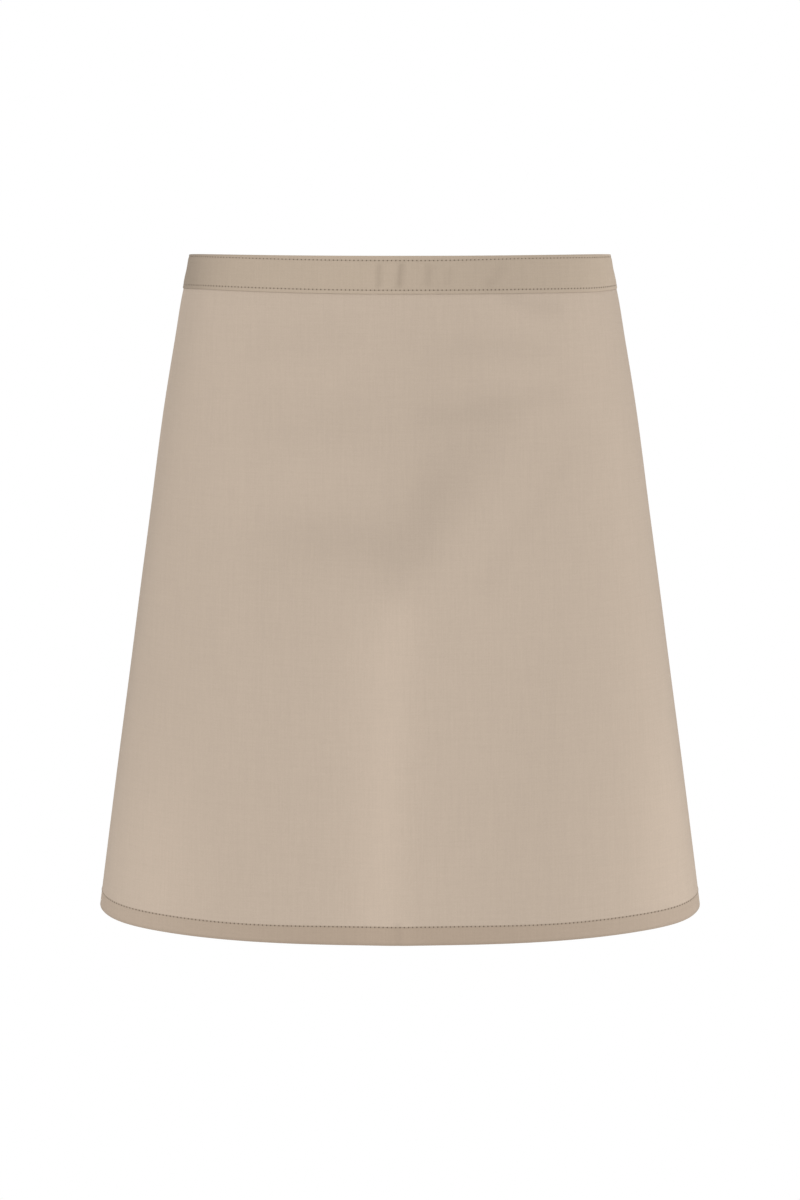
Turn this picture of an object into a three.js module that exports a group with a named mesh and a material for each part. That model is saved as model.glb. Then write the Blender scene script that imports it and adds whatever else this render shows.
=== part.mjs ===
// A short waist apron, held in the form that it has when it is worn and tied at the back.
// Millimetres, +Z up, the front of the apron faces -Y.
// The origin is the middle of the waist, half way up the band at the two sides.
import * as THREE from 'three';

// Cloth
const clothWall = 1;
const clothGap = 0.3;
const clothLength = 545;
const clothWidth = 750;

// Waist, where the band goes round the body
const waistHalfWidth = 171.5;
const waistFrontDepth = 107;
const waistBackDepth = 104;
const waistFrontDrop = 13;
const waistBackRise = 5;

// Bottom edge, where the cloth hangs free
const hemHalfWidth = 246.8;
const hemFrontDepth = 127;
const hemBackDepth = 118;
const hemSideRise = 23;

// How full the level sections are at the waist and at the bottom edge: 2 is an ellipse, more is squarer.
const waistFullness = 2;
const hemFullness = 2.25;

// Band, hems and ties
const bandHeight = 31;
const bandOverlap = 10;
const hemHeight = 14.5;
const sideHemWidth = 12;
const hemLayers = 2;
const tieWidth = 18.5;
const tieInsert = 15;
const knotAcross = 22;
const knotDepth = 15;
const knotRound = 3.75;
const knotInset = 5;
const loopReach = 72;
const loopDepth = 15;
const loopDroop = 26;
const loopLean = 12;
const loopOut = 3.5;
const tieEndLength = 235;
const tieEndSpread = 9;
const tieEndWave = 5;
const foldReach = 6;

// How fine the facets are
const columnCount = 60;
const rowCount = 21;
const tieSteps = 14;
const loopSteps = 24;

// How the half width and the depth grow from the waist (share 0) to the bottom edge (share 1).
// at: share of the cloth's length. flare: share of the growth in width.
// swell: share of the growth in depth.
const sections = [
  { at: 0, flare: 0, swell: 0 },
  { at: 0.06, flare: 0.1, swell: 0.24 },
  { at: 0.13, flare: 0.175, swell: 0.5 },
  { at: 0.25, flare: 0.31, swell: 0.72 },
  { at: 0.4, flare: 0.45, swell: 0.84 },
  { at: 0.7, flare: 0.735, swell: 0.95 },
  { at: 1, flare: 1, swell: 1 },
];

// The soft folds of the panel. Each runs from a height to a lower height and may lean as it goes.
// from, to: shares of the cloth's length. start, end: its place in shares of the half width of the cloth,
// left below 0. spread: its half width in the same shares. out: its height in shares of foldReach.
const folds = [
  { name: 'belly', from: -0.1, to: 0.36, start: 0, end: 0, spread: 0.27, out: 0.7 },
  { name: 'under belly, right', from: 0.17, to: 0.52, start: 0.28, end: -0.02, spread: 0.09, out: -0.5 },
  { name: 'under belly, left', from: 0.26, to: 0.54, start: -0.34, end: -0.02, spread: 0.1, out: -0.4 },
  { name: 'ridge down the middle', from: 0.4, to: 1.6, start: 0, end: 0, spread: 0.06, out: 0.5 },
  { name: 'right thigh', from: 0.3, to: 1.2, start: 0.3, end: 0.34, spread: 0.16, out: 0.5 },
  { name: 'left thigh', from: 0.3, to: 1.2, start: -0.3, end: -0.34, spread: 0.16, out: 0.5 },
  { name: 'flute, lower right', from: 0.45, to: 1.5, start: 0.55, end: 0.72, spread: 0.1, out: 0.8 },
  { name: 'flute, lower left', from: 0.55, to: 1.5, start: -0.58, end: -0.72, spread: 0.1, out: 0.6 },
];

const clothColour = 0xc0b09f;
const bandColour = 0xb7a795;
const hemColour = 0xb0a08e;

const clothRoughness = 0.9;

const halfWall = clothWall / 2;
const halfCloth = clothWidth / 2;
const waistLevel = bandHeight / 2;
const panelTop = bandHeight - bandOverlap;
const edgeLip = clothGap + clothWall;
const panelBottom = clothLength - edgeLip;
const panelHalf = halfCloth - edgeLip;
const hemTop = clothLength - hemHeight;
const tieTop = (clothWall + panelTop - tieWidth) / 2;
const knotReach = knotAcross / 2 + clothGap;
const ribbonPitch = clothWall + clothGap;
const tieEndOut = loopOut - 3 * ribbonPitch;

const mix = (a, b, t) => a + (b - a) * t;

// Smooth curve through one column of the section table.
function sectionShare(column, at) {
  const last = sections.length - 1;
  const t = Math.min(Math.max(at, 0), 1);
  let i = sections.findIndex((row) => row.at >= t) - 1;
  i = Math.min(Math.max(i, 0), last - 1);
  const slope = (k) => {
    const lo = sections[Math.max(k - 1, 0)];
    const hi = sections[Math.min(k + 1, last)];
    return (hi[column] - lo[column]) / (hi.at - lo.at);
  };
  const { at: x0, [column]: y0 } = sections[i];
  const { at: x1, [column]: y1 } = sections[i + 1];
  const span = x1 - x0;
  const u = (t - x0) / span;
  const bend0 = (2 * u ** 3 - 3 * u ** 2 + 1) * y0 + (u ** 3 - 2 * u ** 2 + u) * span * slope(i);
  const bend1 = (3 * u ** 2 - 2 * u ** 3) * y1 + (u ** 3 - u ** 2) * span * slope(i + 1);
  return bend0 + bend1;
}

// The level section of the cloth at a height: two half rounds that meet at the sides.
function sectionAt(height) {
  const at = height / clothLength;
  const swell = sectionShare('swell', at);
  return {
    halfWidth: mix(waistHalfWidth, hemHalfWidth, sectionShare('flare', at)),
    front: mix(waistFrontDepth, hemFrontDepth, swell),
    back: mix(waistBackDepth, hemBackDepth, swell),
    power: 2 / mix(waistFullness, hemFullness, at),
  };
}

// A place on a section, by the angle from the front: across, back, and forward as a share of the depth.
function roundPlace(section, angle) {
  const swing = (value) => Math.sign(value) * Math.abs(value) ** section.power;
  const forward = swing(Math.cos(angle));
  const depth = forward > 0 ? section.front : section.back;
  return { x: section.halfWidth * swing(Math.sin(angle)), y: -depth * forward, forward };
}

// Distances along half the section from the front, one for each small step of the angle, kept for each height.
const arcTables = new Map();
const arcSteps = 360;
const arcStep = Math.PI / arcSteps;
function arcTable(height) {
  if (!arcTables.has(height)) {
    const section = sectionAt(height);
    const lengths = [0];
    let before = roundPlace(section, 0);
    for (let i = 1; i <= arcSteps; i += 1) {
      const place = roundPlace(section, i * arcStep);
      lengths.push(lengths[i - 1] + Math.hypot(place.x - before.x, place.y - before.y));
      before = place;
    }
    arcTables.set(height, lengths);
  }
  return arcTables.get(height);
}

// The angle from the front at a distance along the section, to either side.
function angleAt(height, along) {
  const lengths = arcTable(height);
  const reach = Math.min(Math.abs(along), lengths[arcSteps]);
  const i = Math.max(lengths.findIndex((length) => length >= reach), 1);
  const part = (reach - lengths[i - 1]) / (lengths[i] - lengths[i - 1]);
  return Math.sign(along) * (i - 1 + part) * arcStep;
}

const halfRound = (height) => arcTable(height)[arcSteps];

// Height above the origin, for a height down the cloth and a share forward.
function levelAt(height, forward) {
  const top = waistLevel - forward * (forward > 0 ? waistFrontDrop : waistBackRise);
  const bottom = waistLevel - waistFrontDrop - clothLength + hemSideRise * (1 - forward);
  return mix(top, bottom, height / clothLength);
}

// How far the folds push the cloth out at a place, along its normal.
function foldOut(height, along) {
  const at = height / clothLength;
  const side = along / halfCloth;
  return folds.reduce((sum, fold) => {
    const t = (at - fold.from) / (fold.to - fold.from);
    if (t <= 0 || t >= 1) {
      return sum;
    }
    const place = (side - mix(fold.start, fold.end, t)) / fold.spread;
    return sum + foldReach * fold.out * Math.sin(Math.PI * t) ** 2 * Math.exp(-place * place);
  }, 0);
}

// A place on the cloth: height down it from the waist edge, distance along it from the front middle,
// and distance out from the middle of its wall.
function clothPoint(height, along, out) {
  const section = sectionAt(height);
  const angle = angleAt(height, along);
  const place = roundPlace(section, angle);
  const before = roundPlace(section, angle - arcStep);
  const after = roundPlace(section, angle + arcStep);
  const normal = new THREE.Vector2(after.y - before.y, before.x - after.x).normalize();
  const push = out + foldOut(height, along);
  return new THREE.Vector3(
    place.x + normal.x * push,
    place.y + normal.y * push,
    levelAt(height, place.forward),
  );
}

const steps = (from, to, count) => Array.from({ length: count + 1 }, (_, i) => mix(from, to, i / count));

// A geometry from points and triangles, turned so that its faces point out.
function solid(points, index) {
  const volume = index.reduce((sum, _, i) => {
    if (i % 3) {
      return sum;
    }
    const [a, b, c] = [points[index[i]], points[index[i + 1]], points[index[i + 2]]];
    return sum + a.dot(new THREE.Vector3().crossVectors(b, c));
  }, 0);
  const geometry = new THREE.BufferGeometry().setFromPoints(points);
  geometry.setIndex(volume > 0 ? index : index.slice().reverse());
  geometry.computeVertexNormals();
  return geometry;
}

// A closed wall between two grids of points that face each other, each a list of rows.
function wallSolid(front, back) {
  const columns = front[0].length;
  const points = [...front.flat(), ...back.flat()];
  const behind = front.length * columns;
  const lastRow = behind - columns;
  const index = [];
  const quad = (a, b, c, d) => index.push(a, b, c, a, c, d);
  for (let start = 0; start < lastRow; start += columns) {
    for (let a = start; a + 1 < start + columns; a += 1) {
      quad(a, a + columns, a + columns + 1, a + 1);
      quad(behind + a, behind + a + 1, behind + a + columns + 1, behind + a + columns);
    }
    const end = start + columns - 1;
    quad(start + columns, start, behind + start, behind + start + columns);
    quad(end, end + columns, behind + end + columns, behind + end);
  }
  for (let c = 0; c + 1 < columns; c += 1) {
    quad(c, c + 1, behind + c + 1, behind + c);
    quad(lastRow + c + 1, lastRow + c, behind + lastRow + c, behind + lastRow + c + 1);
  }
  return solid(points, index);
}

// A folded strip that runs along the cloth. Its section is a list of rows, each with the place of its
// outer and its inner face: height down the cloth and distance out.
function stripAlong(section, alongs) {
  const line = ([height, out]) => alongs.map((along) => clothPoint(height, along, out));
  return wallSolid(section.map((row) => line(row.outer)), section.map((row) => line(row.inner)));
}

// The same for a strip that runs down the cloth, with distance along and distance out.
function stripDown(section, heights) {
  const line = ([along, out]) => heights.map((height) => clothPoint(height, along, out));
  return wallSolid(section.map((row) => line(row.outer)), section.map((row) => line(row.inner)));
}

// A flat ribbon of tie through a list of middle points, with its width in one direction.
function ribbon(middles, across) {
  const line = (edge, face) => middles.map((middle, i) => {
    const before = middles[Math.max(i - 1, 0)];
    const after = middles[Math.min(i + 1, middles.length - 1)];
    const normal = new THREE.Vector3().subVectors(after, before).cross(across).normalize();
    return middle.clone()
      .addScaledVector(across, (edge * tieWidth) / 2)
      .addScaledVector(normal, face * halfWall);
  });
  return wallSolid([line(-1, -1), line(1, -1)], [line(-1, 1), line(1, 1)]);
}

const group = new THREE.Group();

function add(name, geometry, colour) {
  const material = new THREE.MeshStandardMaterial({ color: colour, roughness: clothRoughness, metalness: 0 });
  const mesh = new THREE.Mesh(geometry, material);
  mesh.name = name;
  group.add(mesh);
}

const panelAlongs = steps(-panelHalf, panelHalf, columnCount);
const edgeAlongs = [-halfCloth, ...panelAlongs, halfCloth];
const rowHeights = steps(bandHeight, hemTop, rowCount);

function panel() {
  const heights = [panelTop, ...rowHeights, panelBottom];
  const section = heights.map((height) => ({ outer: [height, halfWall], inner: [height, -halfWall] }));
  return stripAlong(section, panelAlongs);
}

// The band is folded over the top edge of the panel: a front wall, a fold and a back wall, open below.
function waistband() {
  const inner = halfWall + clothGap;
  const outer = inner + clothWall;
  return stripAlong([
    { outer: [bandHeight, outer], inner: [bandHeight, inner] },
    { outer: [panelTop, outer], inner: [panelTop, inner] },
    { outer: [0, outer], inner: [clothWall, inner] },
    { outer: [0, -outer], inner: [clothWall, -inner] },
    { outer: [panelTop, -outer], inner: [panelTop, -inner] },
    { outer: [bandHeight, -outer], inner: [bandHeight, -inner] },
  ], edgeAlongs);
}

// A turned edge lies behind the panel, and its fold closes past the panel's own edge.
const turnNear = -halfWall - clothGap;
const turnFar = turnNear - hemLayers * clothWall;

function bottomHem() {
  return stripAlong([
    { outer: [hemTop, turnFar], inner: [hemTop, turnNear] },
    { outer: [clothLength, turnFar], inner: [clothLength - clothWall, turnNear] },
    { outer: [clothLength, halfWall], inner: [clothLength - clothWall, halfWall] },
  ], edgeAlongs);
}

function sideHem(side) {
  const heights = [bandHeight + clothGap, ...rowHeights.slice(1, -1), hemTop - clothGap];
  const fromEdge = (distance) => side * (halfCloth - distance);
  return stripDown([
    { outer: [fromEdge(sideHemWidth), turnFar], inner: [fromEdge(sideHemWidth), turnNear] },
    { outer: [fromEdge(0), turnFar], inner: [fromEdge(clothWall), turnNear] },
    { outer: [fromEdge(0), halfWall], inner: [fromEdge(clothWall), halfWall] },
  ], heights);
}

// A tie runs from inside the end of the band round the back to the knot.
function tie(side) {
  const start = halfCloth - tieInsert;
  const end = (height) => halfRound(height) - knotReach;
  const face = (out) => [tieTop, tieTop + tieWidth].map((height) => (
    steps(start, end(height), tieSteps).map((along) => clothPoint(height, side * along, out))
  ));
  return wallSolid(face(halfWall), face(-halfWall));
}

// Where the two ties meet at the middle of the back.
const knotHeightDown = tieTop + tieWidth / 2;
const knotPlace = clothPoint(knotHeightDown, halfRound(knotHeightDown), 0).setX(0);

// The knot is a rounded lump that the ties, the loops and the free ends meet.
function knot() {
  const shape = new THREE.Shape();
  shape.absarc(0, 0, knotAcross / 2, 0, 2 * Math.PI);
  const geometry = new THREE.ExtrudeGeometry(shape, {
    depth: knotDepth - 2 * knotRound,
    bevelThickness: knotRound,
    bevelSize: knotRound,
    bevelOffset: -knotRound,
    bevelSegments: 2,
    curveSegments: 4,
  });
  geometry.rotateX(Math.PI / 2);
  geometry.translate(0, knotPlace.y + knotDepth - knotRound - knotInset, knotPlace.z);
  return geometry;
}

// A loop of the bow: a ribbon that leaves the knot, bends back at its end and returns beside itself.
function bowLoop(side) {
  const droop = THREE.MathUtils.degToRad(loopDroop);
  const outward = new THREE.Vector3(side * Math.cos(droop), 0, -Math.sin(droop));
  const across = new THREE.Vector3(side * Math.sin(droop), 0, Math.cos(droop));
  const fullest = 4 / (3 * Math.sqrt(3));
  const middles = steps(0, 2 * Math.PI, loopSteps).map((turn) => {
    const reach = (loopReach * (1 - Math.cos(turn))) / 2;
    const apart = (ribbonPitch / 2) * Math.cos(turn / 2);
    const swell = (loopDepth / 2 / fullest) * Math.sin(turn) * Math.sin(turn / 2);
    const lean = (loopLean * reach) / loopReach;
    return knotPlace.clone()
      .addScaledVector(outward, knotReach + reach)
      .add(new THREE.Vector3(0, loopOut + lean - apart - swell, 0));
  });
  return ribbon(middles, across);
}

// A free end hangs from under the knot and leans to its side, one in front of the other.
function tieEnd(side) {
  const lean = THREE.MathUtils.degToRad(tieEndSpread);
  const down = new THREE.Vector3(side * Math.sin(lean), 0, -Math.cos(lean));
  const across = new THREE.Vector3(Math.cos(lean), 0, side * Math.sin(lean));
  const apart = (side * ribbonPitch) / 2;
  const middles = steps(0, 1, tieSteps).map((t) => knotPlace.clone()
    .add(new THREE.Vector3(0, tieEndOut + apart + tieEndWave * t * Math.sin(2 * Math.PI * t), 0))
    .addScaledVector(down, knotReach + tieEndLength * t));
  return ribbon(middles, across);
}

add('apron_panel', panel(), clothColour);
add('waistband', waistband(), bandColour);
add('bottom_hem', bottomHem(), hemColour);
[['left', -1], ['right', 1]].forEach(([name, side]) => {
  add(`side_hem_${name}`, sideHem(side), hemColour);
  add(`tie_${name}`, tie(side), bandColour);
  add(`bow_loop_${name}`, bowLoop(side), bandColour);
  add(`tie_end_${name}`, tieEnd(side), bandColour);
});
add('bow_knot', knot(), bandColour);

export default group;
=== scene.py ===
import math

import bmesh
import bpy
import numpy as np
from mathutils import Matrix, Vector


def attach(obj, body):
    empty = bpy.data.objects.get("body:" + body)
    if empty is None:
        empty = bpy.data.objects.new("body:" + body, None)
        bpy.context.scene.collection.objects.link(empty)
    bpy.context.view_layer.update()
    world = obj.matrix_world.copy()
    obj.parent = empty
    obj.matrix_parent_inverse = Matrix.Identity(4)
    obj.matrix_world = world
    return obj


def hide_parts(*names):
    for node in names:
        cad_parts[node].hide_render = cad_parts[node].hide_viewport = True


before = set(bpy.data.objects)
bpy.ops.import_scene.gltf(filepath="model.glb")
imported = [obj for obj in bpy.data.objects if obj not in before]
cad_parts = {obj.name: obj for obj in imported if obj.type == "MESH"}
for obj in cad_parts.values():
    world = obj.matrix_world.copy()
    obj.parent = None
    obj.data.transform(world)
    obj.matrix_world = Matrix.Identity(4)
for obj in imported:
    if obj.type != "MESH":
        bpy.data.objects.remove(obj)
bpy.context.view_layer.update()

mm = 0.001  # all lengths below are in millimetres, and the meshes are in metres

# the camera looks level at the front from 2.6 m away, in a soft white room
studio = {
    "eye": (0, -2600, -270.6),
    "lens": 94.2,
    "sensor": 36,             # on the long side of the picture
    "aim": (0, 0, -300),      # the middle of the apron, where the lights point
    "floorLevel": -1150,
    "floorRadius": 1450,
    "floorSides": 96,
    "floorTone": (0.93, 0.93, 0.93, 1),
    "floorRoughness": 0.9,
}

# place, size and power of each soft light
lights = {
    "front": ((200, -2900, 500), 1600, 19),
    "low right": ((1150, 250, -900), 700, 3),
    "low left": ((-1150, 200, -950), 700, 1.6),
}


def linked(name, data):
    # a new object in the scene
    holder = bpy.data.objects.new(name, data)
    bpy.context.scene.collection.objects.link(holder)
    return holder


def addLight(name, place, size, power):
    lamp = bpy.data.lights.new(name, "AREA")
    lamp.shape = "DISK"
    lamp.size = size * mm
    lamp.energy = power
    holder = linked(name, lamp)
    holder.location = Vector(place) * mm
    aim = Vector(studio["aim"]) * mm - holder.location
    holder.rotation_euler = aim.to_track_quat("-Z", "Y").to_euler()


def setStudio():
    scene = bpy.context.scene
    camera = bpy.data.cameras.new("camera")
    camera.sensor_width = studio["sensor"]
    camera.lens = studio["lens"]
    holder = linked("camera", camera)
    holder.location = Vector(studio["eye"]) * mm
    holder.rotation_euler = (math.pi / 2, 0, 0)
    scene.camera = holder
    scene.view_settings.view_transform = "Standard"
    world = bpy.data.worlds.new("white room")
    world.use_nodes = True
    world.node_tree.nodes["Background"].inputs["Color"].default_value = (1, 1, 1, 1)
    world.node_tree.nodes["Background"].inputs["Strength"].default_value = 1
    scene.world = world
    for name, (place, size, power) in lights.items():
        addLight(name, place, size, power)


print("camera and light")
setStudio()


class Wire:
    # a value in a node tree that takes part in Python expressions
    def __init__(self, nodes, socket):
        self.nodes = nodes
        self.socket = socket

    def step(self, operation, *others):
        return self.nodes.maths(operation, self, *others)

    def __add__(self, other):
        return self.step("ADD", other)

    def __radd__(self, other):
        return self.step("ADD", other)

    def __mul__(self, other):
        return self.step("MULTIPLY", other)

    def __rmul__(self, other):
        return self.step("MULTIPLY", other)

    def __sub__(self, other):
        return self.step("SUBTRACT", other)

    def __rsub__(self, other):
        return self.nodes.maths("SUBTRACT", other, self)

    def __truediv__(self, other):
        return self.step("DIVIDE", other)

    def __abs__(self):
        return self.step("ABSOLUTE")


class Nodes:
    # one material and its node tree
    def __init__(self, name):
        self.material = bpy.data.materials.new(name)
        self.material.use_nodes = True
        self.tree = self.material.node_tree
        self.tree.nodes.clear()

    def put(self, kind, settings=None, sockets=None, output=0):
        node = self.tree.nodes.new(kind)
        for key, value in (settings or {}).items():
            setattr(node, key, value)
        for key, value in (sockets or {}).items():
            if isinstance(value, Wire):
                self.tree.links.new(value.socket, node.inputs[key])
            else:
                node.inputs[key].default_value = value
        return Wire(self, node.outputs[output]) if node.outputs else None

    def maths(self, operation, *values):
        return self.put("ShaderNodeMath", {"operation": operation}, dict(enumerate(values)))

    def smooth(self, value, start, end):
        # 0 before start and 1 after end, or the other way round where end is the smaller
        return self.put(
            "ShaderNodeMapRange",
            {"interpolation_type": "SMOOTHSTEP"},
            {"Value": value, "From Min": start, "From Max": end, "To Min": 0, "To Max": 1},
        )

    def noise(self, x, y, seed, detail=2):
        # soft noise around 0, from about -1 to 1, on a plane of its own
        place = self.put("ShaderNodeCombineXYZ", None, {0: x, 1: y, 2: seed})
        value = self.put("ShaderNodeTexNoise", None, {"Vector": place, "Scale": 1, "Detail": detail})
        return value * 2 - 1

    def mix(self, factor, first, second):
        return self.put("ShaderNodeMix", {"data_type": "RGBA"}, {0: factor, 6: first, 7: second}, output=2)

    def times(self, colour, factors):
        # a colour times another colour, each channel by itself
        return self.put("ShaderNodeVectorMath", {"operation": "MULTIPLY"}, {0: colour, 1: factors})

    def scaled(self, colour, factor):
        # a colour made lighter or darker
        colour = colour if isinstance(colour, Wire) else colour[:3]
        return self.times(colour, self.put("ShaderNodeCombineXYZ", None, {0: factor, 1: factor, 2: factor}))

    def mapAxes(self):
        # the place on the cloth that the piece's UV map holds, along and down
        spot = self.put("ShaderNodeUVMap", {"uv_map": "clothMap"})
        along = self.put("ShaderNodeSeparateXYZ", None, {0: spot})
        return along, Wire(self, along.socket.node.outputs[1])

    def surfaced(self, sockets):
        # the finished material, from the values of its shader
        shader = self.put("ShaderNodeBsdfPrincipled", None, sockets)
        self.put("ShaderNodeOutputMaterial", None, {"Surface": shader})
        return self.material


# the worn form: half widths and depths of the level sections, drops of the edges
form = {
    "clothLength": 545,
    "clothWidth": 750,
    "waistHalfWidth": 171.5,
    "waistFrontDepth": 107,
    "waistBackDepth": 104,
    "waistFrontDrop": 13,
    "waistBackRise": 5,
    "hemHalfWidth": 246.8,
    "hemFrontDepth": 127,
    "hemBackDepth": 118,
    "hemSideRise": 23,
    "waistLift": 0.6,         # how far the waist edge rises between the middle and the sides
    "hemLift": 1.3,           # how far the bottom edge rises near the sides
    "hemLiftPlace": 0.3,      # share of the depth at which it rises most, and how wide that rise is
    "hemLiftSpread": 0.22,
    "waistFullness": 2,
    "hemFullness": 2.25,
    "bandHeight": 31,
    "foldReach": 6,
    "angleSteps": 360,
    "tableStep": 2,
    "tableReach": 660,
}
halfCloth = form["clothWidth"] / 2
waistLevel = form["bandHeight"] / 2
sides = {"left": -1, "right": 1}
faces = {"front": 1, "back": -1}

# share of the cloth's length, share of the growth in width, share of the growth in depth
sections = np.array([
    (0, 0, 0),
    (0.06, 0.1, 0.24),
    (0.13, 0.175, 0.5),
    (0.25, 0.31, 0.72),
    (0.4, 0.45, 0.84),
    (0.7, 0.735, 0.95),
    (1, 1, 1),
])

# soft folds: from, to (shares of the length), start, end, spread (shares of the half width), out
folds = {
    "belly": (-0.1, 0.36, 0, 0, 0.27, 0.7),
    "under belly, right": (0.17, 0.52, 0.28, -0.02, 0.09, -0.5),
    "under belly, left": (0.26, 0.54, -0.34, -0.02, 0.1, -0.4),
    "ridge down the middle": (0.4, 1.6, 0, 0, 0.06, 0.5),
    "right thigh": (0.3, 1.2, 0.3, 0.34, 0.16, 0.5),
    "left thigh": (0.3, 1.2, -0.3, -0.34, 0.16, 0.5),
    "flute, lower right": (0.45, 1.5, 0.55, 0.72, 0.1, 0.8),
    "flute, lower left": (0.55, 1.5, -0.58, -0.72, 0.1, 0.6),
}

# fine creases: along and height of each end, half width, length of the fading ends, out
creases = {
    "band, left of the middle": (-16.5, 3, -17, 29, 2.2, 6, -0.8),
    "band, beside the middle": (-9, 3, -10, 29, 3.5, 8, 0.5),
    "band, middle": (2.5, 3, -0.5, 29, 2.4, 5, -1.2),
    "band, past the middle": (8.5, 4, 7, 28, 3, 8, 0.4),
    "band, right of the middle": (24.5, 3, 21.5, 29, 2.8, 7, -0.8),
    "band, second on the right": (40, 5, 36.5, 28, 3.2, 8, -0.5),
    "band, slanting": (68, 28, 84, 5, 4.5, 9, -0.8),
    "band, left end": (-190, 3, -194, 29, 8, 8, -0.8),
    "band, left": (-112, 3, -104, 29, 10, 8, -0.4),
    "band, right": (140, 3, 150, 29, 12, 8, -0.4),
    "from the band, right": (80, 33, 136, 50, 4.5, 16, -0.8),
    "belly, upper": (20, 68, 122, 77, 9, 30, -0.9),
    "belly, lower": (8, 117, 122, 126, 10, 30, -0.9),
    "under belly, left": (-130, 212, -5, 238, 12, 40, -0.9),
    "hip, right": (100, 214, 130, 170, 5, 20, -0.4),
    "edge of the middle ridge": (12, 262, 14, 560, 5, 30, -0.7),
    "top, far left": (-158, 26, -168, 95, 15, 30, 0.9),
    "top, far right": (150, 26, 160, 95, 15, 30, 0.9),
    "left hip": (-226, -20, -216, 380, 60, 120, 1.3),
    "right hip": (226, -20, 216, 380, 60, 120, 1.3),
    "top corner, left": (-236, -20, -236, 14, 70, 14, 1.5),
    "top corner, right": (236, -20, 236, 14, 70, 14, 1.5),
    "notch in the bottom edge": (-1.5, 528, -1.5, 600, 2.6, 8, -0.6),
}

# painted light and shade on the panel: the colour is made lighter along some lines (painted light) and darker
# along others (painted shade); the same columns, with the step of painted shade at the end
panelPaintedShading = {
    "middle ridge": (-20, 245, -21, 600, 32, 69, 0.9),
    "middle ridge, core": (-1, 262, -18, 600, 17, 25, 1),
    "belly, upper": (16, 72, 146, 79, 11, 47, -0.8),
    "belly, lower": (-1, 133, 151, 110, 12, 23, -0.8),
    "belly, left": (-152, 139, 4, 131, 26, 47, -0.6),
    "belly": (30, -44, 25, 247, 44, 122, -0.9),
    "under belly, right arm": (103, 97, -27, 274, 25, 53, -1),
    "under belly, right arm, core": (29, 141, 11, 274, 19, 47, -0.7),
    "under belly, left arm": (-149, 228, 28, 224, 23, 75, -0.9),
    "below the left arm": (-130, 238, 8, 231, 131, 14, -0.3),
    "from the band, right": (73, 31, 143, 46, 8, 13, -1),
    "hem, middle": (-1.5, 524, -1.5, 570, 3, 6, -1.6),
    "hem, beside the middle": (6, 524, 7, 570, 4, 6, 1),
    "from the band, left": (-142, 81, -19, 58, 15, 31, -0.5),
    "hip, right": (148, 152, 58, 276, 9, 16, -0.4),
    "right thigh, inner": (138, 128, 81, 600, 42, 12, -0.3),
    "right thigh, outer": (134, 289, 91, 603, 36, 80, -0.3),
    "left side, light": (-194, -78, -70, 248, 58, 64, 0.5),
    "left edge": (-182, -42, -284, 446, 21, 30, -0.9),
    "left edge, below": (-259, 145, -295, 618, 28, 58, -1.4),
    "right side": (162, -57, 253, 582, 34, 43, 0.8),
    "right edge": (280, -45, 275, 592, 25, 178, -1.6),
    "lower left": (-187, 350, -224, 683, 44, 170, 1.5),
    "lower right": (246, 290, 201, 727, 41, 215, 1.7),
}

# painted shade and light on the band: darker along its creases, its top edge, its left end and right of the
# middle, lighter at its right end; the same columns
bandPaintedShading = {
    "left end": (-214, -10, -214, 41, 46, 5, -5.6),
    "right end": (205, -10, 205, 41, 45, 5, 2),
    "centre, right": (42, -10, 42, 41, 50, 5, -1),
    "right": (104, -10, 104, 41, 54, 5, -1.35),
    "top edge, left": (-240, 0.2, -100, 0.2, 1.5, 30, -2.2),
    "top edge, right": (110, 0.2, 200, 0.2, 1.5, 20, -1.2),
    "left of the middle": (-16.5, 3, -17, 29, 2.6, 6, -1.9),
    "middle": (1.5, 3, -1.5, 29, 2.5, 6, -2.8),
    "right of the middle": (23.5, 3, 21, 29, 3.6, 7, -1.5),
    "second on the right": (40, 5, 36.5, 28, 3.4, 8, -0.8),
    "slanting": (66, 30, 88, 5, 5, 9, -0.9),
}


def mixed(a, b, t):
    return a + (b - a) * t


def eased(value, start, end):
    t = np.clip((value - start) / (end - start), 0, 1)
    return t * t * (3 - 2 * t)


def sectionShare(column, at):
    x, y = sections[:, 0], sections[:, column]
    low = np.maximum(np.arange(len(x)) - 1, 0)
    high = np.minimum(np.arange(len(x)) + 1, len(x) - 1)
    slope = (y[high] - y[low]) / (x[high] - x[low])
    at = np.clip(at, 0, 1)
    i = np.clip(np.searchsorted(x, at) - 1, 0, len(x) - 2)
    span = x[i + 1] - x[i]
    u = (at - x[i]) / span
    first = (2 * u**3 - 3 * u**2 + 1) * y[i] + (u**3 - 2 * u**2 + u) * span * slope[i]
    return first + (3 * u**2 - 2 * u**3) * y[i + 1] + (u**3 - u**2) * span * slope[i + 1]


def sectionAt(height):
    # half width, front depth, back depth and the power of the level section
    at = height / form["clothLength"]
    swell = sectionShare(2, at)
    return (
        mixed(form["waistHalfWidth"], form["hemHalfWidth"], sectionShare(1, at)),
        mixed(form["waistFrontDepth"], form["hemFrontDepth"], swell),
        mixed(form["waistBackDepth"], form["hemBackDepth"], swell),
        2 / mixed(form["waistFullness"], form["hemFullness"], at),
    )


def roundPlace(section, angle):
    halfWidth, front, back, power = section
    side = np.sin(angle)
    forward = np.cos(angle)
    side = np.sign(side) * np.abs(side) ** power
    forward = np.sign(forward) * np.abs(forward) ** power
    return halfWidth * side, -np.where(forward > 0, front, back) * forward, forward


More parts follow.
